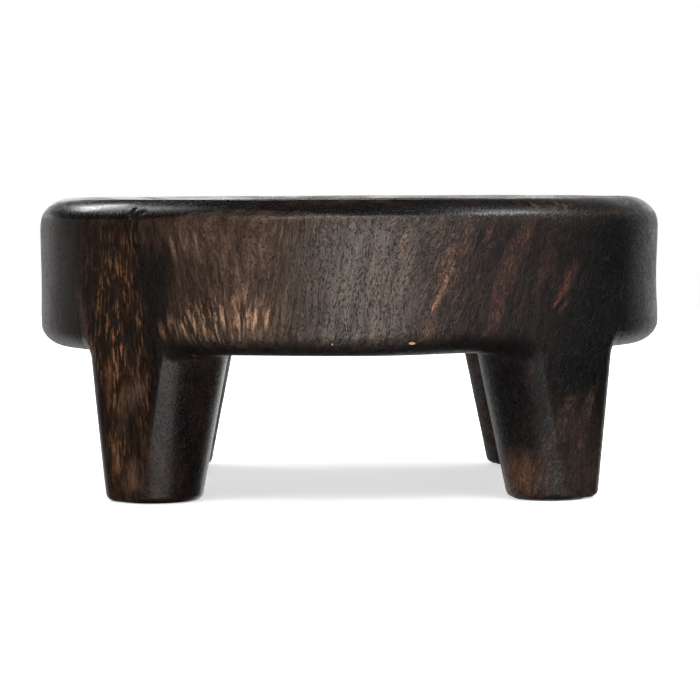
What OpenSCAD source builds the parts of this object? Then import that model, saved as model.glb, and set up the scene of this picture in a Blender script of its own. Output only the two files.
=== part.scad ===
// Carved wooden bowl: a round, thick-walled vessel standing on four tapered legs, cut from one
// block of wood, with a felt pad let into the underside of each foot.
// +Z is up, -Y is the front, lengths are in millimetres. The origin is on the floor, under the
// middle of the bowl.

/* [Bowl wall] */
// Outside diameter of the wall
bowl_d = 450; // [400:5:500]
// Height of the wall, from its underside to the top of the rim
wall_h = 106; // [100:1:125]
// Width of the rounding between the wall and the top of the rim
rim_round_w = 22; // [18:1:26]
// Height of the same rounding, which meets the wall in a soft edge
rim_round_h = 14; // [10:1:16]
// Radius of the rounding around the underside of the wall
base_round_r = 14; // [8:1:18]

/* [Hollow] */
// Depth of the hollow below the top of the rim
hollow_depth = 68; // [55:1:72]
// Distance from the outside of the wall to the middle of the lip's curve
lip_inset = 47; // [42:1:60]
// Fall of the rim towards the hollow, in degrees
rim_fall = 5; // [3:0.5:7]
// Radius of the lip, where the rim turns down into the hollow
lip_r = 14; // [8:1:18]
// Radius of the curve between the floor of the hollow and its side
side_r = 110; // [95:5:120]

/* [Legs] */
// Height of a leg, from the underside of the wall to the sole of the foot
leg_h = 102; // [70:1:130]
// Distance between the middles of neighbouring feet
foot_pitch = 276; // [250:2:284]
// Diameter of a leg where it leaves the underside of the wall
leg_top_d = 91; // [80:1:96]
// Diameter of a leg at its foot
foot_d = 63; // [58:1:70]
// Outward lean of a leg on its way down, in degrees
leg_lean = 1.6; // [0.5:0.1:3]
// Radius of the rounding around a foot
foot_round_r = 4.5; // [3:0.5:6]

/* [Floor pads] */
// Diameter of a pad
pad_d = 50; // [40:1:52]
// Thickness of a pad
pad_t = 3; // [2:0.5:5]
// How far a pad stands out below the foot
pad_proud = 1; // [0.5:0.5:1.5]
// Gap around a pad in its seat
pad_gap = 0.3; // [0.1:0.1:0.5]

/* [Hidden] */
$fn = 160;
over = 1;
wood_colour = [0.2, 0.13, 0.1];
felt_colour = [0.16, 0.14, 0.13];

wall_r = bowl_d / 2;
sole_z = pad_proud;
base_z = sole_z + leg_h;
rim_z = base_z + wall_h;
floor_z = rim_z - hollow_depth;

// The rounding on the outside of the rim is an arc that is level at the top of the rim.
rim_arc_r = (pow(rim_round_w, 2) + pow(rim_round_h, 2)) / (2 * rim_round_h);
rim_arc_x = wall_r - rim_round_w;
rim_arc_z = rim_z - rim_arc_r;
base_arc_x = wall_r - base_round_r;
base_arc_z = base_z + base_round_r;

// Neighbouring curves cross in a soft edge, so each arc stands this far past a smooth join.
soft = 0.1;
foot_soft = 0.4;

// The rim is a shallow cone that falls towards the hollow.
rim_start_z = rim_z - soft;
lip_x = wall_r - lip_inset;
lip_z = rim_start_z - (rim_arc_x - lip_x) * tan(rim_fall) - (lip_r - soft) / cos(rim_fall);

// The side of the hollow is an arc that is level at the floor and ends at the lip.
side_z = floor_z + side_r;
side_x = lip_x - sqrt(pow(side_r + lip_r - soft, 2) - pow(side_z - lip_z, 2));

leg_slope = atan((leg_top_d - foot_d) / 2 / leg_h);
leg_sink = 24;
leg_spare = 4;
leg_shy = 0.1;
foot_r = foot_d / 2;
foot_ring_r = foot_pitch / sqrt(2);
foot_arc_x = foot_r + foot_round_r * (tan(leg_slope) - 1 / cos(leg_slope)) + foot_soft;
seat_r = pad_d / 2 + pad_gap;

// Half section of the solid wall, before it is hollowed.
module wall_section() {
    difference() {
        translate([0, base_z]) square([wall_r, wall_h]);
        difference() {
            translate([rim_arc_x, rim_arc_z]) square(rim_arc_r + over);
            translate([rim_arc_x, rim_arc_z]) circle(r = rim_arc_r);
        }
        difference() {
            translate([base_arc_x, base_z - over]) square(base_round_r + over);
            translate([base_arc_x, base_arc_z]) circle(r = base_round_r);
        }
    }
}

// Half section of the space above the falling rim.
module above_rim_section() {
    reach = rim_arc_x + rim_round_w / 2;
    fall = tan(rim_fall);
    polygon([
        [0, rim_start_z - rim_arc_x * fall],
        [reach, rim_start_z + (reach - rim_arc_x) * fall],
        [reach, rim_z + rim_round_w],
        [0, rim_z + rim_round_w]
    ]);
}

// Half section of the hollow, with a level floor and a curved side.
module bowl_section() {
    translate([0, floor_z]) square([side_x, hollow_depth]);
    intersection() {
        translate([side_x, side_z]) circle(r = side_r);
        translate([0, floor_z]) square([wall_r, hollow_depth]);
    }
}

// The sharp corner between the rim and the hollow, outside the curve of the lip.
module lip_corner_section() {
    reach = 2 * lip_r;
    to_side = [side_x - lip_x, side_z - lip_z] / norm([side_x - lip_x, side_z - lip_z]);
    to_rim = [-sin(rim_fall), cos(rim_fall)];
    translate([lip_x, lip_z]) difference() {
        polygon([[0, 0], to_rim * reach, (to_rim + to_side) * reach, to_side * reach]);
        circle(r = lip_r);
    }
}

// Half section of the sharp edge around a foot, outside its rounding.
module foot_edge_section() {
    difference() {
        translate([foot_arc_x, -over]) square(foot_round_r + over);
        translate([foot_arc_x, foot_round_r]) circle(r = foot_round_r);
    }
}

// Puts its children at each foot, with the local x axis pointing away from the middle.
module at_each_foot() {
    for (turn = [45 : 90 : 315]) {
        rotate([0, 0, turn]) translate([foot_ring_r, 0, 0]) children();
    }
}

// A leaning cone, longer at both ends than the leg that it makes.
module leg_cone() {
    rotate([0, -leg_lean, 0]) translate([0, 0, -leg_spare]) cylinder(
        h = leg_spare + leg_h + leg_sink,
        r1 = foot_r - leg_spare * tan(leg_slope),
        r2 = foot_r + (leg_h + leg_sink) * tan(leg_slope)
    );
}

// The legs stop level at the sole, and their outer faces are flush with the wall.
module legs() {
    translate([0, 0, sole_z]) difference() {
        intersection() {
            cylinder(r = wall_r - leg_shy, h = leg_h + leg_sink);
            at_each_foot() leg_cone();
        }
        at_each_foot() rotate_extrude() foot_edge_section();
    }
}

module carved_bowl() {
    color(wood_colour) difference() {
        union() {
            rotate_extrude() wall_section();
            legs();
        }
        rotate_extrude() {
            above_rim_section();
            bowl_section();
            lip_corner_section();
        }
        at_each_foot() cylinder(r = seat_r, h = pad_t);
    }
}

module floor_pad(x_side, y_side) {
    color(felt_colour) translate([x_side * foot_pitch / 2, y_side * foot_pitch / 2, 0])
        cylinder(d = pad_d, h = pad_t);
}

module pad_front_left() {
    floor_pad(-1, -1);
}

module pad_front_right() {
    floor_pad(1, -1);
}

module pad_rear_left() {
    floor_pad(-1, 1);
}

module pad_rear_right() {
    floor_pad(1, 1);
}

carved_bowl();
pad_front_left();
pad_front_right();
pad_rear_left();
pad_rear_right();
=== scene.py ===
"""A footed bowl carved from one upright log section, on four felt pads: looks, lights and camera."""

import math
from types import SimpleNamespace

import bpy
import numpy as np
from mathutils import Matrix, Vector


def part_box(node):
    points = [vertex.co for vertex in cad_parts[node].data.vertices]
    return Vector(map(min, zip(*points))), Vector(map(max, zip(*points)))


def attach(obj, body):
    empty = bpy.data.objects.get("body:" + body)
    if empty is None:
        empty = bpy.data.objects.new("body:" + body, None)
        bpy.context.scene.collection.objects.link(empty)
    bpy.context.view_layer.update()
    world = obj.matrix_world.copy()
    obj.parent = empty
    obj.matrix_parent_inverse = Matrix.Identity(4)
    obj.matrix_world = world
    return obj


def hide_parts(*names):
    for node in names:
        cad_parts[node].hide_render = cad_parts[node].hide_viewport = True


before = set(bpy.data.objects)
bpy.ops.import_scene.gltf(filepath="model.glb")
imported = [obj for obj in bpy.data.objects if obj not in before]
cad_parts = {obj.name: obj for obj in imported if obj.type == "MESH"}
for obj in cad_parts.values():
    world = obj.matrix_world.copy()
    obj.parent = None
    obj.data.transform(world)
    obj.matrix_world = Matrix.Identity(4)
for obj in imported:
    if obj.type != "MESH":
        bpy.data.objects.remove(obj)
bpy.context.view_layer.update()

MM = 0.001

# ---------------------------------------------------------------- sizes, in mm
block_low, block_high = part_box("carved_bowl")
WALL_R = (block_high.x - block_low.x) / 2 / MM
RIM_Z = block_high.z / MM
SOLE_Z = block_low.z / MM
BASE_Z = SOLE_Z + 102  # underside of the drum
FLOOR_Z = RIM_Z - 68  # floor of the hollow

RIM_ROUND_R = 24.3  # arc from the wall up to the rim
RIM_LINE_R = WALL_R - 22  # where that arc runs out into the rim's flat
RIM_FALL = math.radians(6)  # the rim falls this much towards the hollow
SIDE_R = 110  # arc of the hollow's side
SIDE_FLAT_R = 68.6  # where that arc meets the flat floor
LIP_ROUND_R = 9
DRUM_ROUND_R = 18  # wall to underside
LEG_ROUND_R = 2  # flush outer face of a leg to its front
LEG_SIDE_EXTRA = 5  # and this much more to its side
FOOT_ROUND_R = 4.5
FLUSH_R = 1.5  # soft edge where the wall trims the leg's fillet
CREASE_R = 3  # carved corner between leg and underside
ARRIS_ANGLE = math.acos(22 / RIM_ROUND_R)  # the arc starts this much off upright
ARRIS_R = 3
RIM_TILT = 0.0035  # the rim stands a little higher at the left
RIM_DIP = 0.6  # the rim is worn this much lower at the front left
SEAT_R = 25.3
SEAT_TOP_Z = SOLE_Z + 2

# Each leg is a leaning cone: how its foot and its top stand off the even layout, and its radii.
# The carver's legs are not quite alike.
LEAN = 1.6  # sideways, from the foot in to the top
LEGS = {
    "pad_front_left": {"foot": (1.5, 0.0), "top": (3.0, 0.4), "foot_r": 33.2, "top_r": 49.0},
    "pad_front_right": {"foot": (1.6, 0.0), "top": (-0.2, 0.3), "foot_r": 31.4, "top_r": 48.2},
    "pad_rear_left": {"foot": (-1.5, 0.6), "top": (0.4, -1.1), "foot_r": 30.4, "top_r": 46.4},
    "pad_rear_right": {"foot": (0.5, -0.4), "top": (-3.4, -1.6), "foot_r": 32.2, "top_r": 47.0},
}
PAD_CENTRES = {}  # in mm
for pad_name in LEGS:
    pad_low, pad_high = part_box(pad_name)
    PAD_CENTRES[pad_name] = ((pad_low.x + pad_high.x) / 2 / MM, (pad_low.y + pad_high.y) / 2 / MM)
LEG_SPARE = 40  # how far a leg's cone runs up inside the drum

PAD_EDGE_R = 0.7

VOXEL = 1.3
FACES = 188000
PROJECT_STEPS = 4
MAX_STEP = 4  # the furthest that a point moves in one step

# ---------------------------------------------------------------- smooth noise on points


class Lattice:
    """Smooth value noise from a fixed table of random numbers."""

    def __init__(self, seed, size=32):
        self.size = size
        self.table = np.random.default_rng(seed).uniform(-1, 1, (size, size, size))

    def __call__(self, points, cell):
        q = points / cell + 1000.5
        i = np.floor(q).astype(int)
        f = q - i
        f = f * f * f * (f * (f * 6 - 15) + 10)
        total = 0
        for dx in (0, 1):
            for dy in (0, 1):
                for dz in (0, 1):
                    corner = (i + (dx, dy, dz)) % self.size
                    w = (f[:, 0] if dx else 1 - f[:, 0]) * (f[:, 1] if dy else 1 - f[:, 1])
                    w = w * (f[:, 2] if dz else 1 - f[:, 2])
                    total = total + w * self.table[corner[:, 0], corner[:, 1], corner[:, 2]]
        return total


hand = Lattice(4)


def smooth(value, low, high):
    """0 below low, 1 above high, and a soft step between."""
    t = np.clip((value - low) / (high - low), 0, 1)
    return t * t * (3 - 2 * t)


def near_line(points, a, b):
    """Distance in mm of each point from the line between a and b."""
    a, b = np.array(a, float), np.array(b, float)
    t = np.clip((points - a) @ (b - a) / ((b - a) @ (b - a)), 0, 1)
    return np.linalg.norm(points - a - t[:, None] * (b - a), axis=1)


# ---------------------------------------------------------------- the carved form, as a distance


def round_max(a, b, r):
    """What lies inside both a and b, with the corner between them rounded to r."""
    return np.minimum(-r, np.maximum(a, b)) + np.hypot(np.maximum(r + a, 0), np.maximum(r + b, 0))


def round_min(a, b, r):
    """What lies inside a or b, with the inner corner between them filled to r."""
    return -round_max(-a, -b, r)


def leg_axis(pad):
    """Centre of a leg at the sole and at the underside of the drum."""
    foot = np.array(PAD_CENTRES[pad])
    top = foot - np.sign(foot) * LEAN * math.sqrt(2)
    return foot + LEGS[pad]["foot"], top + LEGS[pad]["top"]


AXES = {pad: leg_axis(pad) for pad in LEGS}

# Grooves and chips left by tools and use: two ends, how wide and how deep.
MARKS = [
    ((-149.8, -165.6, 197.6), (-147.4, -163.2, 202.4), 1.5, 1.6),  # nick in the rim
    ((-144.5, -169.5, 198.5), (-141, -171.5, 200.5), 2.6, 0.5),  # bruise beside it
    ((121, -190, 100.5), (138, -182, 105.5), 2.2, 1.3),  # end of a carving cut
    ((128, -186, 96), (134, -184, 100), 3.5, 0.5),
    ((39, -222, 112.5), (43.5, -221, 112), 1.3, 0.5),  # chips on the lower edge
    ((-108, -196, 103.5), (-104, -197, 103), 1.5, 0.5),
    ((-205, 92, 203), (-201, 99, 204), 2.5, 0.5),
    ((92, 203, 117), (99, 200, 119), 2.0, 0.4),
]


def relief_at(p):
    """How far the hand work stands proud of the true form, in mm."""
    tall = p * (1, 1, 0.6)
    return 0.45 * hand(tall, 105) + 0.22 * hand(tall + 300, 44) + 0.06 * hand(p + 700, 17)


def wall_waist(p):
    """The wall draws in a little at mid height, more at its right end."""
    z = p[:, 2]
    middle = np.exp(-(((z - 148) / 28) ** 2))
    ends = smooth(np.abs(p[:, 0]), 120, 220)
    return 0.4 + 0.9 * ends - (0.6 + 1.0 * smooth(p[:, 0], 100, 220)) * middle


def arris_lift(x):
    """The arris at the top of the wall runs lower over the left half of the front."""
    return -1.1 + 0.9 * smooth(x, 42, 92) + 1.0 * smooth(-x, 150, 210)


def distance(p, relief, waist):
    """Signed distance in mm from points p to the carved surface."""
    x, y, z = p.T
    r = np.hypot(x, y)
    wall = r - WALL_R - waist

    cones = np.full(len(p), 1e3)
    for pad, leg in LEGS.items():
        foot, top = AXES[pad]
        t = (z - SOLE_Z) / (BASE_Z - SOLE_Z)
        centre = foot + t[:, None] * (top - foot)
        radius = leg["foot_r"] + t * (leg["top_r"] - leg["foot_r"])
        slope = (leg["top_r"] - leg["foot_r"]) / (BASE_Z - SOLE_Z)
        cone = (np.hypot(x - centre[:, 0], y - centre[:, 1]) - radius) / math.hypot(1, slope)
        cones = np.minimum(cones, np.maximum(cone, z - BASE_Z - LEG_SPARE))
    worn = 6 * np.exp(-(((x - 72) / 45) ** 2)) * (y < 0)  # rounder right of the middle of the front
    drum = round_max(BASE_Z - z, wall, DRUM_ROUND_R + worn)
    crease = CREASE_R + 5 * smooth(r, 195, 222)
    edge = LEG_ROUND_R + LEG_SIDE_EXTRA * smooth(np.abs(x) - np.abs(y), 5, 45)
    body = round_min(drum, round_max(cones, wall, edge), crease)
    body = round_max(body, wall, FLUSH_R)

    z = z + RIM_TILT * x * smooth(z, 150, 190)
    # The cap is an arc down to the arris, and its tangent below that.
    across, up = r - RIM_LINE_R, z - (RIM_Z - RIM_ROUND_R) - arris_lift(x) * smooth(r, 205, 225)
    arc = np.hypot(np.maximum(across, 0), up) - RIM_ROUND_R
    tangent = across * math.cos(ARRIS_ANGLE) + up * math.sin(ARRIS_ANGLE) - RIM_ROUND_R
    cap = np.where(up < np.maximum(across, 0) * math.tan(ARRIS_ANGLE), tangent, arc)
    body = round_max(body, cap, ARRIS_R)
    z = z + RIM_DIP * smooth(-y, 60, 190) * smooth(60 - x, 0, 150)
    rim = (z - RIM_Z) * math.cos(RIM_FALL) + (RIM_LINE_R - r) * math.sin(RIM_FALL)
    body = round_max(body, rim, 1.0)

    lift = SIDE_R + FLOOR_Z - z
    hollow = SIDE_R - np.hypot(np.maximum(r - SIDE_FLAT_R, 0), lift)
    body = round_max(body, hollow, LIP_ROUND_R)
    body = body - relief
    return round_max(body, SOLE_Z - z, FOOT_ROUND_R)


def slopes(p, field, step=0.02):
    """Gradient of a field at p."""
    here = field(p)
    result = np.empty_like(p)
    for axis in range(3):
        q = p.copy()
        q[:, axis] += step
        result[:, axis] = (field(q) - here) / step
    return result


def carved(p):
    """The distance with all of the hand work in it."""
    relief = relief_at(p)
    for a, b, width, depth in MARKS:
        relief = relief - depth * np.exp(-((near_line(p, a, b) / width) ** 2))
    return distance(p, relief, wall_waist(p))


def settle(p, steps):
    """Moves points onto the carved surface."""
    for _ in range(steps):
        d = carved(p)
        waist = wall_waist(p)
        g = slopes(p, lambda q: distance(q, 0, waist))
        p = p - (np.clip(d, -MAX_STEP, MAX_STEP) / np.maximum((g * g).sum(1), 0.2))[:, None] * g
    return p


# ---------------------------------------------------------------- from distance to mesh


def new_object(name, vertices, faces):
    mesh = bpy.data.meshes.new(name)
    mesh.from_pydata(vertices, [], faces)
    mesh.update()
    piece = bpy.data.objects.new(name, mesh)
    bpy.context.scene.collection.objects.link(piece)
    return piece


def lathe(profile, segments, centres=None):
    """Vertices and faces of a closed turned form; profile runs from the axis round to the axis."""
    inner = profile[1:-1]
    vertices = []
    for row, (r, z) in enumerate(inner):
        cx, cy = centres[row] if centres else (0, 0)
        for k in range(segments):
            a = 2 * math.pi * k / segments
            vertices.append((cx + r * math.cos(a), cy + r * math.sin(a), z))
    first, last = len(vertices), len(vertices) + 1
    for row, index in ((0, 0), (-1, -1)):
        cx, cy = centres[row] if centres else (0, 0)
        vertices.append((cx, cy, profile[index][1]))
    faces = []
    for k in range(segments):
        n = (k + 1) % segments
        faces.append((first, n, k))
        for row in range(len(inner) - 1):
            a, b = row * segments, (row + 1) * segments
            faces.append((a + k, a + n, b + n, b + k))
        top = (len(inner) - 1) * segments
        faces.append((last, top + k, top + n))
    return vertices, faces


def joined(parts):
    """Vertices and faces of several meshes as one."""
    vertices, faces = [], []
    for part_vertices, part_faces in parts:
        start = len(vertices)
        vertices += part_vertices
        faces += [tuple(start + i for i in face) for face in part_faces]
    return vertices, faces


def rough_block():
    """Drum and legs as overlapping turned forms, near the final surface."""
    side = []
    for k in range(9):
        a = math.radians(90 * k / 8) * 0.93
        side.append((SIDE_FLAT_R + SIDE_R * math.sin(a), FLOOR_Z + SIDE_R * (1 - math.cos(a))))
    side = [q for q in side if q[1] < RIM_Z - 8]
    rim = [(RIM_LINE_R + RIM_ROUND_R * math.sin(a), RIM_Z - RIM_ROUND_R + RIM_ROUND_R * math.cos(a))
           for a in (1.13, 0.85, 0.57, 0.28, 0)]
    base = [(WALL_R - DRUM_ROUND_R * (1 - math.sin(a)), BASE_Z + DRUM_ROUND_R * (1 - math.cos(a)))
            for a in (0, 0.4, 0.8, 1.2, 1.57)]
    profile = [(0, BASE_Z)] + [(60 * k, BASE_Z) for k in (1, 2, 3)] + base + rim
    profile += [(186, RIM_Z - 2), (176, RIM_Z - 5)] + side[::-1] + [(30, FLOOR_Z), (0, FLOOR_Z)]
    parts = [lathe(profile, 144)]
    for pad, leg in LEGS.items():
        foot, top = AXES[pad]
        rows, centres = [], []
        for z in (SOLE_Z, SOLE_Z + 4, 35, 70, BASE_Z, BASE_Z + LEG_SPARE - 2):
            t = (z - SOLE_Z) / (BASE_Z - SOLE_Z)
            centres.append(tuple(foot + t * (top - foot)))
            rows.append((leg["foot_r"] + t * (leg["top_r"] - leg["foot_r"]) - (3 if z == SOLE_Z else 0), z))
        rows = [(0, rows[0][1])] + rows + [(0, rows[-1][1])]
        vertices, faces = lathe(rows, 64, centres)
        limit = WALL_R - 0.5
        clipped = []
        for x, y, z in vertices:
            s = min(1, limit / max(math.hypot(x, y), 1))
            clipped.append((x * s, y * s, z))
        parts.append((clipped, faces))
    return joined(parts)


def applied(piece):
    """Gives the piece the mesh that its modifiers make."""
    graph = bpy.context.evaluated_depsgraph_get()
    mesh = bpy.data.meshes.new_from_object(piece.evaluated_get(graph))
    piece.modifiers.clear()
    old = piece.data
    piece.data = mesh
    bpy.data.meshes.remove(old)
    return piece


def points_of(mesh):
    co = np.empty(len(mesh.vertices) * 3, np.float32)
    mesh.vertices.foreach_get("co", co)
    return co.reshape(-1, 3).astype(float)


def put_points(mesh, points):
    mesh.vertices.foreach_set("co", points.astype(np.float32).ravel())
    mesh.update()


def carve():
    """The carved block as one closed mesh, still in mm."""
    piece = new_object("carved_block", *rough_block())
    remesh = piece.modifiers.new("remesh", "REMESH")
    remesh.mode = "VOXEL"
    remesh.voxel_size = VOXEL
    applied(piece)
    put_points(piece.data, settle(points_of(piece.data), PROJECT_STEPS))
    triangles = sum(len(face.vertices) - 2 for face in piece.data.polygons)
    thin = piece.modifiers.new("thin", "DECIMATE")
    thin.ratio = FACES / triangles
    applied(piece)
    put_points(piece.data, settle(points_of(piece.data), 2))
    return piece


def in_seat(place):
    """Whether a point in mm lies over one of the pads' seats."""
    return any(math.hypot(place.x - pad[0], place.y - pad[1]) < SEAT_R + 0.05 for pad in PAD_CENTRES.values())


def cut_seats(piece):
    """Cuts a shallow round seat for a pad into the sole of each leg."""
    parts = []
    for pad_x, pad_y in PAD_CENTRES.values():
        rows = [(0, SOLE_Z - 5), (SEAT_R, SOLE_Z - 5), (SEAT_R, SEAT_TOP_Z), (0, SEAT_TOP_Z)]
        ring, faces = lathe(rows, 72)
        parts.append(([((x + pad_x) * MM, (y + pad_y) * MM, z * MM) for x, y, z in ring], faces))
    cutter = new_object("cutter", *joined(parts))
    cut = piece.modifiers.new("cut", "BOOLEAN")
    cut.object = cutter
    cut.solver = "EXACT"
    applied(piece)
    old = cutter.data
    bpy.data.objects.remove(cutter)
    bpy.data.meshes.remove(old)


def felt_pad(name, seed):
    """A pressed felt disc with a soft fibrous edge and a sole polished by use."""
    low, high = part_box(name)
    radius = (high.x - low.x) / 2 / MM
    thick = (high.z - low.z) / MM
    e = PAD_EDGE_R
    rows = [(0, 0)]
    rows += [(radius * k / 26, 0) for k in range(1, 26)]
    rows += [(radius - e + e * math.sin(a), e - e * math.cos(a)) for a in (0.3, 0.8, 1.3)]
    rows += [(radius, e + (thick - 2 * e) * k / 5) for k in range(6)]
    rows += [(radius - e + e * math.cos(a), thick - e + e * math.sin(a)) for a in (0.4, 0.9, 1.4)]
    rows += [(radius * k / 8, thick) for k in range(7, 0, -1)]
    rows += [(0, thick)]
    vertices, faces = lathe(rows, 160)
    fluff = Lattice(seed)
    places = np.array(vertices)
    r = np.hypot(places[:, 0], places[:, 1])
    edge = smooth(r, radius - 1.5, radius)
    push = 0.16 * fluff(places, 2.2) + 0.12 * fluff(places + 50, 0.9) - 0.12
    places[:, :2] *= (1 + edge * push / np.maximum(r, 1))[:, None]
    sole = smooth(-places[:, 2], -0.5, 0)
    places[:, 2] += 0.08 * sole * (1 + fluff(places + 90, 3.0))
    centre = ((low.x + high.x) / 2, (low.y + high.y) / 2, low.z)
    pad = new_object(name + "_felt", [tuple(row) for row in places * MM + centre], faces)
    pad.data.polygons.foreach_set("use_smooth", np.ones(len(pad.data.polygons), bool))
    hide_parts(name)
    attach(pad, "root")
    return pad


block = carve()
put_points(block.data, points_of(block.data) * MM)
cut_seats(block)
points = points_of(block.data) / MM
normals = slopes(points, carved)
normals /= np.maximum(np.linalg.norm(normals, axis=1), 1e-9)[:, None]
corners = []
for face in block.data.polygons:
    middle = face.center / MM
    sunk = SOLE_Z + 0.1 < middle.z < SEAT_TOP_Z + 0.1 and in_seat(middle)
    corners += [face.normal if sunk else normals[i] for i in face.vertices]
block.data.polygons.foreach_set("use_smooth", np.ones(len(block.data.polygons), bool))
block.data.normals_split_custom_set([tuple(normal) for normal in corners])
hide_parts("carved_bowl")
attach(block, "root")

# ---------------------------------------------------------------- materials


class Graph:
    """Short calls for building a material's nodes. Numbers and sockets can be mixed as inputs."""

    def __init__(self, name):
        self.material = bpy.data.materials.new(name)
        self.material.use_nodes = True
        self.tree = self.material.node_tree
        self.shader = self.tree.nodes["Principled BSDF"]

    def node(self, kind, inputs, **settings):
        made = self.tree.nodes.new("ShaderNode" + kind)
        for key, value in settings.items():
            setattr(made, key, value)
        for key, value in inputs.items():
            self.put(made.inputs[key], value)
        return made

    def put(self, socket, value):
        if isinstance(value, bpy.types.NodeSocket):
            self.tree.links.new(value, socket)
        else:
            socket.default_value = value

    def math(self, operation, a, b=0.0, c=0.0, clamp=False):
        return self.node("Math", {0: a, 1: b, 2: c}, operation=operation, use_clamp=clamp).outputs[0]

    def add(self, a, b):
        return self.math("ADD", a, b)

    def sub(self, a, b):
        return self.math("SUBTRACT", a, b)

    def mul(self, a, b, clamp=False):
        return self.math("MULTIPLY", a, b, clamp=clamp)

    def scaled(self, a, factor, offset):
        return self.math("MULTIPLY_ADD", a, factor, offset)

    def vector(self, x, y, z):
        return self.node("CombineXYZ", {0: x, 1: y, 2: z}).outputs[0]

    def step(self, value, low, high, out_low=0.0, out_high=1.0):
        """A soft step of value between low and high."""
        ends = {"Value": value, "From Min": low, "From Max": high, "To Min": out_low, "To Max": out_high}
        return self.node("MapRange", ends, interpolation_type="SMOOTHSTEP").outputs[0]

    def noise(self, vector, scale, detail=2.0, roughness=0.5, distortion=0.0):
        inputs = {"Vector": vector, "Scale": scale, "Detail": detail,
                  "Roughness": roughness, "Distortion": distortion}
        return self.node("TexNoise", inputs).outputs["Fac"]

    def ramp(self, value, stops):
        """stops are (place, number or colour)."""
        made = self.node("ValToRGB", {"Fac": value})
        elements = made.color_ramp.elements
        while len(elements) < len(stops):
            elements.new(1.0)
        for element, (place, shade) in zip(elements, stops):
            element.position = place
            element.color = (shade, shade, shade, 1) if isinstance(shade, (int, float)) else (*shade, 1)
        return made.outputs["Color"]

    def mix(self, factor, a, b, kind="MIX"):
        made = self.node("Mix", {}, data_type="RGBA", blend_type=kind)
        for index, value in ((0, factor), (6, a), (7, b)):
            if isinstance(value, tuple) and len(value) == 3:
                value = (*value, 1)
            self.put(made.inputs[index], value)
        return made.outputs[2]

    def tint(self, colour, factor):
        """A colour times a number."""
        return self.mix(1.0, colour, self.node("CombineColor", {0: factor, 1: factor, 2: factor}).outputs[0],
                        "MULTIPLY")

    def spot(self, x, z, centre, size, lean=0.0):
        """1 at the centre of an oval on the front of the block, 0 outside it. All in mm."""
        across = self.sub(self.sub(x, centre[0]), self.mul(self.sub(z, centre[1]), lean))
        a = self.mul(across, 1 / size[0])
        b = self.mul(self.sub(z, centre[1]), 1 / size[1])
        far = self.math("SQRT", self.add(self.mul(a, a), self.mul(b, b)))
        return self.step(far, 0.15, 1.0, 1.0, 0.0)


# Tone of the wood across the block, as it shows on the front and on the back: place in mm, colour.
FRONT_TONES = [
    (-225, (0.016, 0.010, 0.008)),
    (-200, (0.012, 0.008, 0.006)),
    (-178, (0.0115, 0.0050, 0.0022)),
    (-152, (0.0155, 0.0064, 0.0024)),
    (-136, (0.0045, 0.003, 0.002)),
    (-118, (0.028, 0.0135, 0.0075)),
    (-92, (0.042, 0.022, 0.013)),
    (-66, (0.050, 0.028, 0.017)),
    (-38, (0.048, 0.031, 0.022)),
    (-5, (0.055, 0.041, 0.031)),
    (30, (0.058, 0.040, 0.029)),
    (56, (0.048, 0.0255, 0.0175)),
    (80, (0.0225, 0.0125, 0.0095)),
    (112, (0.022, 0.013, 0.010)),
    (140, (0.010, 0.0062, 0.0055)),
    (160, (0.0028, 0.0023, 0.0022)),
    (190, (0.0018, 0.0015, 0.0015)),
    (225, (0.014, 0.009, 0.007)),
]
BACK_TONES = [
    (-225, (0.016, 0.010, 0.008)),
    (-180, (0.034, 0.018, 0.010)),
    (-140, (0.012, 0.007, 0.005)),
    (-95, (0.050, 0.027, 0.016)),
    (-50, (0.068, 0.038, 0.023)),
    (-15, (0.030, 0.018, 0.013)),
    (25, (0.055, 0.034, 0.024)),
    (70, (0.020, 0.012, 0.010)),
    (110, (0.042, 0.021, 0.013)),
    (150, (0.062, 0.030, 0.015)),
    (190, (0.014, 0.009, 0.007)),
    (225, (0.014, 0.009, 0.007)),
]
# How far the fibres lean, as sideways mm per mm of height: place across the front in mm, lean.
LEANS = [(-225, 0.0), (-170, -0.04), (-132, -0.2), (-104, -0.3), (-80, -0.12), (-66, 0.0), (-50, 0.2),
         (-10, 0.08), (30, 0.22), (60, 0.36), (100, 0.3), (145, 0.42), (200, 0.1)]
# How far the bare wood creeps up over the arris into the stained rim: place in mm, height in cm.
CREEP = [(-170, 0.0), (-140, 0.04), (-120, 0.12), (-104, 0.36), (-88, 0.5), (-60, 0.48), (-25, 0.35),
         (10, 0.1), (45, 0.05), (92, 0.14)]
CREEP_SCALE = 10  # cm to mm
SPAN = 240  # the ramps run from -SPAN to SPAN mm

TAN = (0.40, 0.225, 0.13)
COPPER = (0.34, 0.16, 0.085)
AMBER = (0.19, 0.075, 0.025)
RUST = (0.11, 0.040, 0.022)
EMBER = (0.20, 0.065, 0.028)
SADDLE = (0.075, 0.041, 0.024)
INK = (0.005, 0.004, 0.0035)
SHIN = (0.045, 0.026, 0.018)
TOE = (0.19, 0.080, 0.038)
REAR_LEG = (0.062, 0.031, 0.016)
# Warm paler wood at the rim's right end, which also paints the light falling there.
RIM_END_PALE_AND_LIT = (0.09, 0.052, 0.034)
RIM_FLECK = (0.13, 0.044, 0.012)
# Dark stain colour, also used to paint shade on the lower edge and the legs' inner sides.
STAIN_AND_SHADE = (0.0028, 0.0022, 0.002)
PORE = (0.004, 0.003, 0.0025)
RING_PITCH = 3.1
WIDE_RING_PITCH = 13.0

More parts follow.
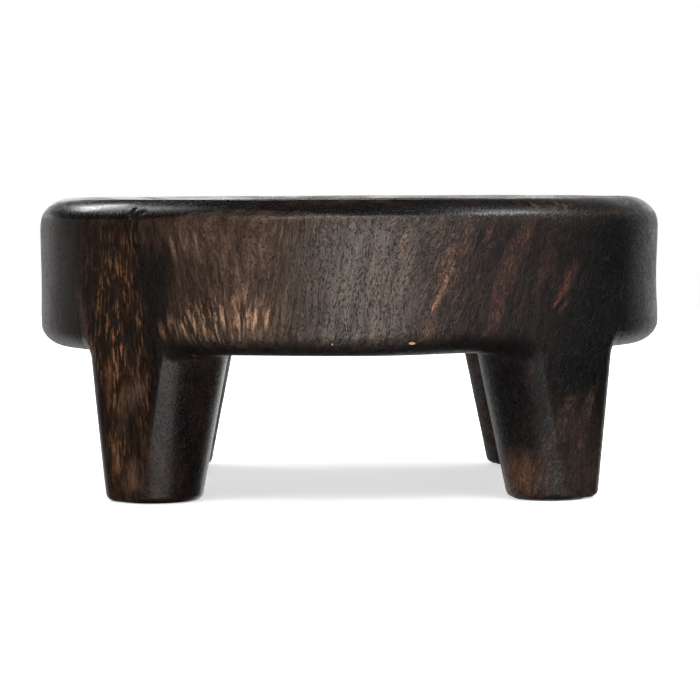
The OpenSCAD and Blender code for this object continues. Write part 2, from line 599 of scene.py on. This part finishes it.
# Single strands on the front: colour, (x, z) in mm, half length, half width, lean, strength.
STRANDS = [
    (TAN, (-86, 129), 13, 1.6, -0.16, 0.9),
    (TAN, (-75, 127), 9, 1.3, -0.05, 0.8),
    (TAN, (-69, 129), 11, 1.7, 0.04, 1.0),
    (TAN, (-63.5, 129), 12, 1.5, 0.14, 0.9),
    (TAN, (-55.5, 128), 10, 1.5, 0.2, 0.9),
    (TAN, (-106, 127), 12, 1.9, -0.5, 0.8),
    (TAN, (-113, 122), 8, 1.5, -0.35, 0.6),
    (TAN, (-89, 120), 8, 1.2, -0.3, 0.6),
    (TAN, (-99, 124), 9, 1.2, -0.4, 0.5),
    (TAN, (-78, 139), 14, 2.4, 0.1, 0.35),
    (TAN, (-70, 146), 12, 2.4, 0.05, 0.25),
    (AMBER, (-128, 121), 9, 2.2, -0.3, 0.9),
    (AMBER, (-122, 125), 7, 1.6, -0.2, 0.8),
    (TAN, (-112, 182), 14, 2.2, -0.22, 0.35),
    (TAN, (-120, 178), 14, 1.8, -0.2, 0.3),
    (TAN, (-103, 180), 12, 1.6, -0.2, 0.25),
    (COPPER, (57, 138), 10, 1.2, 0.38, 1.0),
    (COPPER, (60.5, 144), 11, 1.5, 0.36, 1.0),
    (COPPER, (64, 152), 9, 1.2, 0.3, 0.9),
    (COPPER, (69, 161), 7, 1.3, 0.2, 0.9),
    (COPPER, (66, 166), 24, 5.0, 0.32, 0.22),
    (COPPER, (54, 124), 12, 3.0, 0.35, 0.3),
    (COPPER, (35, 178), 14, 1.8, 0.3, 0.45),
    (RUST, (106, 158), 42, 6.5, 0.36, 0.65),
    (RUST, (121, 186), 14, 5.0, 0.3, 0.7),
    (RUST, (98, 128), 18, 4.5, 0.3, 0.6),
    (RUST, (133, 160), 22, 4.0, 0.4, 0.5),
    (RUST, (93, 184), 9, 2.0, 0.4, 0.9),
    (EMBER, (141, 137), 5, 1.8, 0.7, 1.0),
    (EMBER, (144.5, 143), 7, 3.4, 0.55, 0.6),
    (EMBER, (149, 150), 8, 3.6, 0.45, 0.4),
    (EMBER, (152, 158), 11, 4.5, 0.5, 0.4),
    (EMBER, (146, 134), 7, 2.0, 0.6, 0.5),
    (RUST, (86, 140), 20, 2.0, 0.35, 0.4),
    (RUST, (76, 178), 12, 2.5, 0.2, 0.5),
    (RUST, (153, 50), 16, 4.5, 0.5, 0.5),
    (RUST, (160, 42), 14, 2.5, 0.1, 0.5),
    (RUST, (121, 86), 14, 5.0, 0.1, 0.35),
    (AMBER, (112, 22), 18, 4.5, -0.12, 0.9),
    (COPPER, (120, 9), 4, 9.0, 0.0, 0.4),
    (SADDLE, (147, 58), 22, 6.5, 0.35, 0.8),
    (SADDLE, (163, 62), 24, 4.0, 0.3, 0.6),
    (SADDLE, (132, 34), 16, 4.0, 0.3, 0.6),
    (EMBER, (158, 39), 6, 1.8, 0.0, 0.8),
    (INK, (154, 60), 26, 3.0, 0.4, 0.7),
    (INK, (140, 82), 18, 4.0, 0.4, 0.6),
    (AMBER, (-166, 84), 24, 2.2, 0.1, 0.45),
    (AMBER, (-158, 72), 18, 1.8, 0.2, 0.5),
    (AMBER, (-162, 30), 16, 2.6, -0.1, 0.7),
    (AMBER, (-150, 20), 14, 2.0, 0.1, 0.6),
    (INK, (-104, 153), 28, 15.0, 0.1, 0.5),
    (SADDLE, (-148, 76), 20, 6.5, 0.3, 0.65),
    (SADDLE, (-156, 62), 26, 3.5, 0.1, 0.5),
    (SADDLE, (-150, 18), 18, 8.0, 0.1, 0.6),
    (INK, (-147, 46), 13, 6.0, -0.2, 0.5),
    (INK, (-168, 84), 20, 5.0, 0.0, 0.4),
    (INK, (102, 176), 14, 2.5, 0.3, 0.6),
    (INK, (110, 140), 20, 2.2, 0.36, 0.5),
    (INK, (147, 38), 24, 3.0, 0.45, 0.5),
    (INK, (86, 178), 16, 5.0, 0.3, 0.7),
    (INK, (118, 158), 26, 3.4, 0.34, 0.6),
    (INK, (128, 180), 22, 5.0, 0.3, 0.5),
    (INK, (152, 175), 30, 9.0, 0.3, 0.6),
    (INK, (80, 150), 34, 3.0, 0.3, 0.35),
    (INK, (-131, 158), 26, 13, 0.0, 0.7),
    (INK, (-133, 128), 22, 8, 0.0, 0.6),
    (INK, (-160, 148), 12, 3, 0.0, 0.6),
    (INK, (-166, 190), 9, 6, 0.0, 0.4),
]
# Spots with a sharp edge: colour, (x, z) in mm, (half width, half height). The last is painted shade in the
# nick.
CHIPS_AND_NICK_SHADE = [
    ((0.42, 0.26, 0.16), (41.5, 112), (3.0, 1.2)),
    ((0.10, 0.035, 0.02), (-106, 103), (2.2, 1.0)),
    ((0.3, 0.17, 0.1), (-12, 112), (1.0, 1.0)),
    ((0.002, 0.0015, 0.001), (-149, 199.8), (1.2, 3.4)),  # painted shade in the slit of the nick
]


def placed(stops):
    """Stops at places in mm, as places on a ramp."""
    return [((x + SPAN) / (2 * SPAN), value) for x, value in stops]


def across_front(g, x):
    """Place for a ramp that runs across the block, from 0 at -SPAN to 1 at SPAN."""
    return g.scaled(x, 1 / (2 * SPAN), 0.5)


def wood_fields(g):
    """Places on the block in mm, and the fields that the wood's colour, gloss and bump share."""
    w = SimpleNamespace()
    here = g.node("TexCoord", {}).outputs["Object"]
    mm = g.node("VectorMath", {0: here, "Scale": 1 / MM}, operation="SCALE").outputs[0]
    w.x, w.y, w.z = g.node("SeparateXYZ", {0: mm}).outputs
    x, y, z = w.x, w.y, w.z
    w.facing = g.node("SeparateXYZ", {0: g.node("NewGeometry", {}).outputs["Normal"]}).outputs[2]
    w.radius = g.math("SQRT", g.add(g.mul(x, x), g.mul(y, y)))

    # Fibres run up the block, wander, and lean as they do on the front.
    wander = g.noise(g.vector(x, y, g.mul(z, 0.45)), 0.016, 2.0)
    wander = g.scaled(wander, 26, -13)
    w.jitter = g.scaled(g.noise(g.vector(x, y, g.mul(z, 0.6)), 0.11, 2.0), 5, -2.5)
    lean = g.ramp(across_front(g, x), placed([(a, 0.5 + b) for a, b in LEANS]))
    lean = g.mul(g.sub(lean, 0.5), g.step(y, -20, 60, 1.0, 0.25))
    across = g.add(g.sub(x, g.mul(lean, g.sub(z, 125))), w.jitter)
    w.across = g.add(across, g.mul(wander, 0.55))
    w.deep = g.add(y, g.mul(wander, 0.4))

    w.fibre = along_fibre(g, w, 0.07)
    w.strands = g.noise(w.fibre, 0.3, 4.0, 0.68)
    w.flecks = g.noise(along_fibre(g, w, 0.16), 0.5, 2.0, 0.5)
    w.fine = g.noise(along_fibre(g, w, 0.13), 0.85, 3.0, 0.7)
    w.mottle = g.noise(along_fibre(g, w, 0.35), 0.06, 3.0, 0.55)
    w.blotch = g.noise(mm, 0.022, 3.0, 0.55)
    w.grit = g.noise(along_fibre(g, w, 0.45), 0.8, 3.0, 0.8)
    outside = g.math("MAXIMUM", g.step(w.radius, 196, 206), g.step(z, 98, 104, 1.0, 0.0))
    w.in_front = g.mul(g.step(y, -60, -20, 1.0, 0.0), outside)
    w.flat = g.step(g.math("ABSOLUTE", w.facing), 0.35, 0.75)

    # Growth rings: tall ovals where they lie along the front, arcs on the flats.
    bow = g.mul(g.mul(x, x), 1 / 520)
    rise = g.mul(g.math("POWER", g.sub(z, 150), 2.0), 1 / 620)
    depth = g.add(g.add(g.add(y, bow), rise), g.mul(g.sub(w.blotch, 0.5), 30))
    depth = g.add(depth, g.mul(g.sub(w.mottle, 0.5), 5))
    w.rings = g.math("SINE", g.mul(depth, 2 * math.pi / RING_PITCH))
    w.wide_rings = g.math("SINE", g.mul(depth, 2 * math.pi / WIDE_RING_PITCH))
    return w


def along_fibre(g, w, squeeze):
    """A vector in which noise is drawn out along the fibres, 1/squeeze times."""
    return g.vector(w.across, w.deep, g.mul(w.z, squeeze))


def plain_wood(g, w):
    """Tones across the block, with strands, grit and growth rings in them."""
    place = across_front(g, g.add(w.across, g.mul(g.sub(w.mottle, 0.5), 22)))
    to_back = g.step(g.add(w.y, g.mul(g.sub(w.blotch, 0.5), 60)), -70, 30)
    tone = g.mix(to_back, g.ramp(place, placed(FRONT_TONES)), g.ramp(place, placed(BACK_TONES)))

    light = g.scaled(g.step(w.strands, 0.25, 0.75), 1.25, 0.4)
    light = g.mul(light, g.scaled(g.step(w.fine, 0.25, 0.75), 0.8, 0.6))
    light = g.mul(light, g.scaled(g.step(w.grit, 0.3, 0.7), 0.7, 0.65))
    narrow, wide = g.scaled(w.flat, 0.22, 0.08), g.scaled(w.flat, 0.2, 0.08)
    ring_light = g.add(g.mul(w.rings, narrow), g.mul(w.wide_rings, wide))
    light = g.mul(light, g.add(ring_light, 1.0))
    light = g.mul(light, g.scaled(w.mottle, 1.0, 0.5))
    return g.tint(tone, light)


def with_strands(g, w, colour):
    """Bright strands, where the stain took less, and the dark streaks between them."""
    x, z = w.x, w.z
    left = g.mul(g.spot(x, z, (-160, 120), (36, 170)), w.in_front)
    low_left = g.mul(g.step(z, 140, 205, 1.0, 0.35), g.step(z, 10, 85, 0.5, 1.0))
    left_strands = g.mul(g.step(w.flecks, 0.5, 0.64), g.step(w.mottle, 0.4, 0.6))
    colour = g.mix(g.mul(g.mul(g.mul(left, left_strands), low_left), 0.95), colour, AMBER)
    fan = g.mul(g.spot(x, z, (-84, 128), (56, 30)), w.in_front)
    colour = g.mix(g.mul(g.mul(fan, g.step(w.flecks, 0.5, 0.68)), 0.4), colour, TAN)
    elsewhere = g.mul(g.sub(1.0, w.in_front), g.step(w.mottle, 0.52, 0.68))
    colour = g.mix(g.mul(g.mul(elsewhere, g.step(w.flecks, 0.5, 0.7)), 0.6), colour, AMBER)

    rough_x = g.add(x, g.mul(w.jitter, 0.35))
    split_up = g.scaled(g.mul(g.step(w.flecks, 0.35, 0.58), g.step(w.grit, 0.3, 0.55)), 0.85, 0.15)
    for shade, centre, length, width, slant, strength in STRANDS:
        mask = g.spot(rough_x, z, centre, (width * 1.5, length), slant)
        mask = g.mul(g.mul(mask, split_up), g.mul(w.in_front, min(1.0, strength * 1.25)), clamp=True)
        colour = g.mix(mask, colour, shade)
    smudge = g.mul(g.spot(rough_x, z, (-133, 152), (19, 40), 0.12), w.in_front)
    return g.mix(g.mul(smudge, 0.85), colour, INK)


def with_leg_tones(g, w, colour):
    """The right leg is stained less towards its foot, and the rear legs' inner sides are browner."""
    shin = g.mul(g.spot(w.x, w.z, (146, 0), (60, 95)), w.in_front)
    shin = g.mul(shin, g.scaled(w.strands, 0.9, 0.35))
    colour = g.mix(g.mul(shin, 0.8), colour, SHIN)
    toe = g.mul(g.spot(w.x, w.z, (116, 14), (26, 30)), w.in_front)
    colour = g.mix(g.mul(toe, g.step(w.strands, 0.3, 0.6)), colour, TOE)

    w.inner = g.step(w.radius, 212, 221, 1.0, 0.0)  # 1 away from the legs' flush outer faces
    w.rear_legs = g.mul(g.mul(g.step(w.y, 0, 40), g.step(w.z, 84, 104, 1.0, 0.0)), w.inner)
    return g.mix(g.mul(w.rear_legs, 0.8), colour, g.tint(REAR_LEG, g.scaled(w.strands, 1.4, 0.3)))


def with_stain_and_shade(g, w, colour):
    """Dark stain on the rim and the flats, painted shade on the lower edge, and stain with painted shade on
    the legs' inner sides.
    """
    # Painted shade: the drum's lower rounded edge, which faces down, is darkened with the stain colour.
    shaded_low_edge = g.mul(g.step(w.z, 108, 118.5, 1.0, 0.0), g.step(w.z, 96, 102))
    shaded_low_edge = g.mul(shaded_low_edge, g.step(g.math("ABSOLUTE", w.x), 120, 135, 1.0, 0.0))
    # Stain and painted shade on the front legs' inner sides: darkest just under the drum, lighter towards the
    # feet.
    leg_side = g.mul(w.inner, g.step(w.z, 96, 104, 1.0, 0.0))
    w.leg_side = g.mul(g.mul(leg_side, g.step(w.z, 10, 90, 0.35, 1.0)), g.step(w.y, 0, 40, 1.0, 0.0))

    # The rim's stain ends near the arris, and bare wood creeps up into it at the left of the front.
    edge_wobble = g.mul(g.mul(g.sub(1.0, w.in_front), g.sub(w.mottle, 0.5)), 14)
    creep = g.mul(g.ramp(across_front(g, w.x), placed(CREEP)), CREEP_SCALE)
    ragged = g.mul(g.mul(g.step(creep, 2, 4), g.sub(w.mottle, 0.5)), 7)
    w.rim = g.step(g.add(g.add(g.sub(w.z, creep), edge_wobble), ragged), 194.2, 197.4)
    # The rim's right end, mostly on the front, is stained less and warmer: paler wood, and painted light from
    # the lamp at the right.
    rim_end_pale_and_lit = g.mul(g.step(w.x, 150, 190), g.step(w.y, -160, -20, 1.0, 0.3))
    figure = g.step(g.add(w.mottle, g.mul(w.wide_rings, 0.05)), 0.42, 0.7)
    worn_top = g.mul(g.step(w.facing, 0.75, 0.95), figure)
    rim_stain = g.mul(w.rim, g.sub(g.scaled(rim_end_pale_and_lit, -0.75, 0.97), g.mul(worn_top, 0.2)))

    hollow = g.mul(g.step(w.radius, 150, 176, 1.0, 0.0), g.step(w.z, 125, 135))
    patchy = g.step(g.add(w.blotch, g.mul(w.wide_rings, 0.06)), 0.3, 0.7, 0.93, 0.7)
    flat_stain = g.mul(g.mul(w.flat, patchy), g.scaled(hollow, -0.3, 1.0))
    # This mask mixes real stain on the rim and flats with painted shade on the lower edge and the legs' inner
    # sides.
    stain_and_shade = g.math("MAXIMUM", g.mul(shaded_low_edge, 0.88), flat_stain)
    stain_and_shade = g.math("MAXIMUM", stain_and_shade, g.mul(w.leg_side, g.step(w.blotch, 0.3, 0.62, 0.96, 0.75)))
    stain_and_shade = g.math("MAXIMUM", stain_and_shade, rim_stain)

    # Warm tone at the rim's right end: partly the wood's own colour, partly painted light.
    warm_end_pale_and_lit = g.mul(g.mul(w.rim, rim_end_pale_and_lit), 0.8)
    colour = g.mix(warm_end_pale_and_lit, colour, g.tint(RIM_END_PALE_AND_LIT, g.scaled(w.strands, 1.2, 0.4)))
    colour = g.mix(stain_and_shade, colour, STAIN_AND_SHADE)
    rim_flecks = g.mul(g.spot(w.x, w.y, (135, -160), (50, 45)), w.rim)
    rim_flecks = g.mul(rim_flecks, g.step(g.noise(w.fibre, 0.14, 3.0), 0.52, 0.66))
    return g.mix(g.mul(rim_flecks, 0.75), colour, RIM_FLECK)


def with_pores(g, w, colour):
    """Short dark dashes along the fibres, and worm-like marks where the grain is figured."""
    cell = along_fibre(g, w, 0.36)
    pore = g.step(g.add(g.noise(cell, 1.2, 1.0, 0.5, 0.3), g.mul(w.rings, 0.04)), 0.53, 0.66)
    pore = g.mul(pore, g.step(g.noise(cell, 0.05, 2.0), 0.25, 0.5, 0.35, 1.0))
    w.pore = g.mul(pore, g.step(w.z, 90, 110, 0.35, 1.0))

    curl = g.noise(along_fibre(g, w, 0.6), 0.22, 2.0, 0.6, 1.6)
    curl = g.math("ABSOLUTE", g.sub(g.math("FRACT", g.mul(curl, 3.0)), 0.5))
    curl = g.step(curl, 0.12, 0.36, 1.0, 0.0)
    on_back = g.mul(g.step(w.y, 0, 60), g.step(w.blotch, 0.45, 0.6))
    figured = g.mul(g.math("MAXIMUM", g.step(w.x, 10, 80), on_back), g.step(w.flecks, 0.3, 0.5))
    w.curls = g.mul(curl, figured)

    colour = g.mix(g.mul(w.pore, 0.7), colour, PORE)
    return g.mix(g.mul(w.curls, 0.7), colour, INK)


def with_chips_and_nick_shade(g, w, colour):
    """Chips that show bare wood, and painted shade in the slit of the nick."""
    for shade, centre, size in CHIPS_AND_NICK_SHADE:
        chip_and_shade_mask = g.mul(g.spot(w.x, w.z, centre, size), w.in_front)
        colour = g.mix(g.step(chip_and_shade_mask, 0.1, 0.5), colour, shade)
    return colour


def dark_wood():
    """Stained and polished hardwood with open pores."""
    g = Graph("dark_wood")
    w = wood_fields(g)
    colour = plain_wood(g, w)
    for add in (with_strands, with_leg_tones, with_stain_and_shade, with_pores, with_chips_and_nick_shade):
        colour = add(g, w, colour)
    g.put(g.shader.inputs["Base Color"], colour)

    roughness = g.scaled(g.step(w.fine, 0.2, 0.8), 0.1, 0.25)
    roughness = g.add(roughness, g.mul(g.step(w.blotch, 0.35, 0.7), 0.05))
    roughness = g.sub(roughness, g.mul(w.rim, 0.1))
    roughness = g.add(roughness, g.sub(g.mul(w.rear_legs, 0.2), g.mul(w.leg_side, 0.07)))
    roughness = g.add(roughness, g.mul(w.pore, 0.25))
    roughness = g.add(roughness, g.mul(w.curls, 0.12))
    g.put(g.shader.inputs["Roughness"], roughness)

    height = g.sub(g.mul(w.strands, 0.35), w.pore)
    height = g.sub(height, g.mul(w.curls, 0.9))
    height = g.add(height, g.mul(w.fine, 0.3))
    height = g.mul(height, g.scaled(w.rim, -0.85, 1.0))  # the rim is polished smoother
    bump = g.node("Bump", {"Strength": 0.75, "Distance": 0.3 * MM, "Height": height})
    g.put(g.shader.inputs["Normal"], bump.outputs[0])
    g.shader.inputs["IOR"].default_value = 1.5
    return g.material


def felt():
    """Dark brown pressed felt: matted fibres and a paler dusty sole."""
    g = Graph("felt")
    here = g.node("TexCoord", {}).outputs["Object"]
    mm = g.node("VectorMath", {0: here, "Scale": 1 / MM}, operation="SCALE").outputs[0]
    mat = g.noise(mm, 1.4, 4.0, 0.7, 1.5)
    patch = g.noise(mm, 0.12, 3.0)
    colour = g.mix(g.step(mat, 0.3, 0.7), (0.008, 0.006, 0.005), (0.035, 0.026, 0.021))
    colour = g.mix(g.mul(g.step(patch, 0.45, 0.7), 0.5), colour, (0.06, 0.05, 0.042))
    g.put(g.shader.inputs["Base Color"], colour)
    bump = g.node("Bump", {"Strength": 0.8, "Distance": 0.4 * MM, "Height": mat})
    g.put(g.shader.inputs["Normal"], bump.outputs[0])
    g.shader.inputs["Roughness"].default_value = 0.95
    g.shader.inputs["Sheen Weight"].default_value = 0.3
    g.shader.inputs["Sheen Roughness"].default_value = 0.5
    return g.material


block.data.materials.append(dark_wood())
felt_material = felt()
for seed, name in enumerate(PAD_CENTRES):
    felt_pad(name, 20 + seed).data.materials.append(felt_material)

# ---------------------------------------------------------------- stage, lights and camera
scene = bpy.context.scene
scene.view_settings.view_transform = "Standard"

CAMERA_AWAY = 2.44
CAMERA_UP = 0.225
CAMERA_TILT = math.radians(3.0155)  # down
CAMERA_ROLL = math.radians(0.4)
SENSOR, LENS = 36, 170.846  # mm
camera_data = bpy.data.cameras.new("camera")
camera = bpy.data.objects.new("camera", camera_data)
scene.collection.objects.link(camera)
camera_data.sensor_width = SENSOR
camera_data.lens = LENS
camera.location = (0, -CAMERA_AWAY, CAMERA_UP)
camera.rotation_euler = (math.pi / 2 - CAMERA_TILT, CAMERA_ROLL, 0)
camera_data.shift_x = 0.00143
camera_data.clip_end = 50
scene.camera = camera


def softbox(name, azimuth, elevation, away, width, height, radiance, aim=(0, 0, 0.12), **seen):
    """A soft light that faces the bowl. Azimuth 0 is in front and 90 to the right.

    seen turns kinds of rays on or off, such as glossy=False.
    """
    light = bpy.data.lights.new(name, "AREA")
    light.shape = "RECTANGLE"
    light.size, light.size_y = width, height
    light.energy = radiance * 4 * width * height
    lamp = bpy.data.objects.new(name, light)
    scene.collection.objects.link(lamp)
    a, e = math.radians(azimuth), math.radians(elevation)
    way = Vector((math.sin(a) * math.cos(e), -math.cos(a) * math.cos(e), math.sin(e)))
    lamp.location = Vector(aim) + way * away
    lamp.rotation_euler = way.to_track_quat("Z", "Y").to_euler()
    lamp.visible_camera = False
    for kind, on in seen.items():
        setattr(lamp, "visible_" + kind, on)
    return lamp


softbox("overhead", 0, 90, 3.5, 9, 9, 1.5, glossy=False)
softbox("front", 7, -4, 1.2, 0.78, 0.95, 1.5)
softbox("front_top", 0, 50, 2.0, 1.8, 0.5, 2.8)
softbox("back_left", -140, 35, 2.05, 0.38, 0.42, 8.0)
softbox("back_left_mid", -124, 49, 2.07, 0.35, 0.35, 3.3)
softbox("back_left_high", -115, 57, 2.07, 0.3, 0.35, 1.4)
softbox("right", 78, 50, 2.0, 0.9, 0.6, 7.5)
softbox("backdrop", -175, 8, 2.2, 0.9, 0.7, 1.5)
softbox("back_right", 159, 20, 2.2, 0.8, 0.55, 0.45)
softbox("backdrop_left", -154, -12, 2.2, 1.3, 2.0, 0.62)
softbox("backdrop_far_left", -124, -8, 2.2, 0.7, 1.2, 0.12)
softbox("backdrop_right", 159, -12, 2.2, 1.3, 2.0, 1.1)

# The camera sees a white world, but it lights the bowl only a little.
WORLD_FILL = 0.03
world = bpy.data.worlds.new("world")
scene.world = world
world.use_nodes = True
tree = world.node_tree
rays = tree.nodes.new("ShaderNodeLightPath")
ground = tree.nodes["Background"]
ground.inputs["Color"].default_value = (1, 1, 1, 1)
pick = tree.nodes.new("ShaderNodeMath")
pick.operation = "MULTIPLY_ADD"
pick.inputs[1].default_value = 1 - WORLD_FILL
pick.inputs[2].default_value = WORLD_FILL
tree.links.new(rays.outputs["Is Camera Ray"], pick.inputs[0])
tree.links.new(pick.outputs[0], ground.inputs["Strength"])

FLOOR_R, FLOOR_SIDES = 3, 96
turns = [2 * math.pi * k / FLOOR_SIDES for k in range(FLOOR_SIDES)]
disc = [(FLOOR_R * math.cos(a), FLOOR_R * math.sin(a), 0) for a in turns]
floor = new_object("floor", disc, [tuple(range(FLOOR_SIDES))])
white = bpy.data.materials.new("floor")
white.use_nodes = True
paper = white.node_tree.nodes["Principled BSDF"].inputs
paper["Base Color"].default_value = (0.88, 0.88, 0.88, 1)
paper["Roughness"].default_value = 0.7
paper["Emission Color"].default_value = (1, 1, 1, 1)
paper["Emission Strength"].default_value = 0.6
floor.data.materials.append(white)
floor.visible_glossy = False
